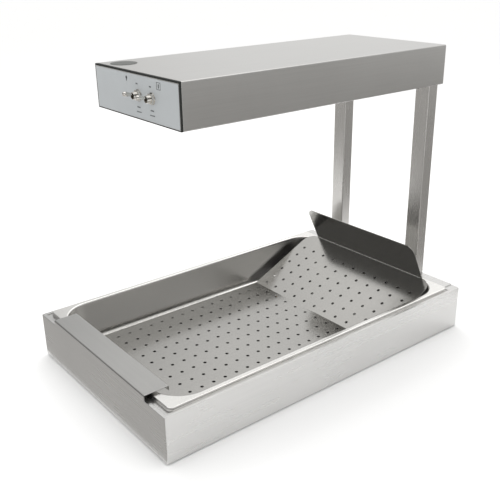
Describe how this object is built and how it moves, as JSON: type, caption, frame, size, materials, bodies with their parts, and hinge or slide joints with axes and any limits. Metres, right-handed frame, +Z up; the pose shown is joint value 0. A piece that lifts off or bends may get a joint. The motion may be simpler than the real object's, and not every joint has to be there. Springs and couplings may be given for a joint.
{
  "type": "countertop fry warmer",
  "caption": "Countertop fry warmer: heated base with a tilting pan, a lift-out perforated ramp insert, and a lamp hood on two rear posts.",
  "frame": {"origin": "centre of the footprint on the worktop, cable gland included", "axes": "+Z up, -Y towards the control end of the hood, +X to the right seen from the control end"},
  "size_m": [0.35, 0.578, 0.4463],
  "materials": {
    "brushed_steel": "brushed along its length",
    "hood_steel": "brushed along its length",
    "post_steel": "brushed upright",
    "pan_steel": "satin pressed steel",
    "insert_steel": "brushed perforated sheet",
    "plain_steel": "mill finish",
    "mirror_steel": "polished",
    "bright_metal": "bright nickel plate",
    "black_rubber": "matt",
    "insulation": "felted mineral fibre",
    "silicone": "matt silicone",
    "ceramic": "unglazed ceramic",
    "white_plastic": "moulded",
    "wire": "sleeved wire",
    "label_film": "satin printed film",
    "label_ink": "printed",
    "badge_film": "satin film",
    "quartz": "frosted quartz",
    "red_plastic": "moulded"
  },
  "bodies": {
    "base": {"base_housing": "brushed_steel", "well_frame": "brushed_steel", "bottom_plate": "plain_steel", "rubber_feet": "black_rubber", "bottom_screws": "bright_metal", "rear_deck": "brushed_steel", "left_post": "post_steel", "right_post": "post_steel", "post_bolts": "bright_metal", "insulation_pad": "insulation", "heater_mat": "silicone", "thermostat": "ceramic", "cable_gland": "black_rubber", "gland_nut": "black_rubber", "terminal_block": "white_plastic", "base_wiring": "wire", "hood_shell": "hood_steel", "hood_rear_panel": "hood_steel", "control_panel": "hood_steel", "panel_gasket": "black_rubber", "panel_label": "label_film", "label_marks": "label_ink", "blank_badge": "badge_film", "hood_screws": "bright_metal", "underside_baffles": "plain_steel", "reflector": "mirror_steel", "heat_lamps": "quartz", "lamp_holders": "ceramic", "lamp_guard": "bright_metal", "hood_wiring": "wire", "switch_bodies": "red_plastic", "switch_bushings": "bright_metal", "switch_nuts": "bright_metal"},
    "pan": {"pan": "pan_steel"},
    "insert": {"perforated_insert": "insert_steel"},
    "lamp_lever": {"lamp_lever": "bright_metal"},
    "base_lever": {"base_lever": "bright_metal"}
  },
  "joints": [
    {"name": "pan_tilt", "type": "hinge", "parent": "base", "child": "pan", "pos_m": [0, -0.277, 0.069], "axis": [1, 0, 0], "range_deg": [0, 10]},
    {"name": "insert_lift", "type": "slide", "parent": "pan", "child": "insert", "axis": [0, 0, 1], "range_m": [0, 0.12]},
    {"name": "lamp_toggle", "type": "hinge", "parent": "base", "child": "lamp_lever", "pos_m": [0.0085, -0.1986, 0.418], "axis": [1, 0, 0], "range_deg": [0, 24]},
    {"name": "base_toggle", "type": "hinge", "parent": "base", "child": "base_lever", "pos_m": [0.0405, -0.1986, 0.418], "axis": [1, 0, 0], "range_deg": [0, 24]}
  ]
}
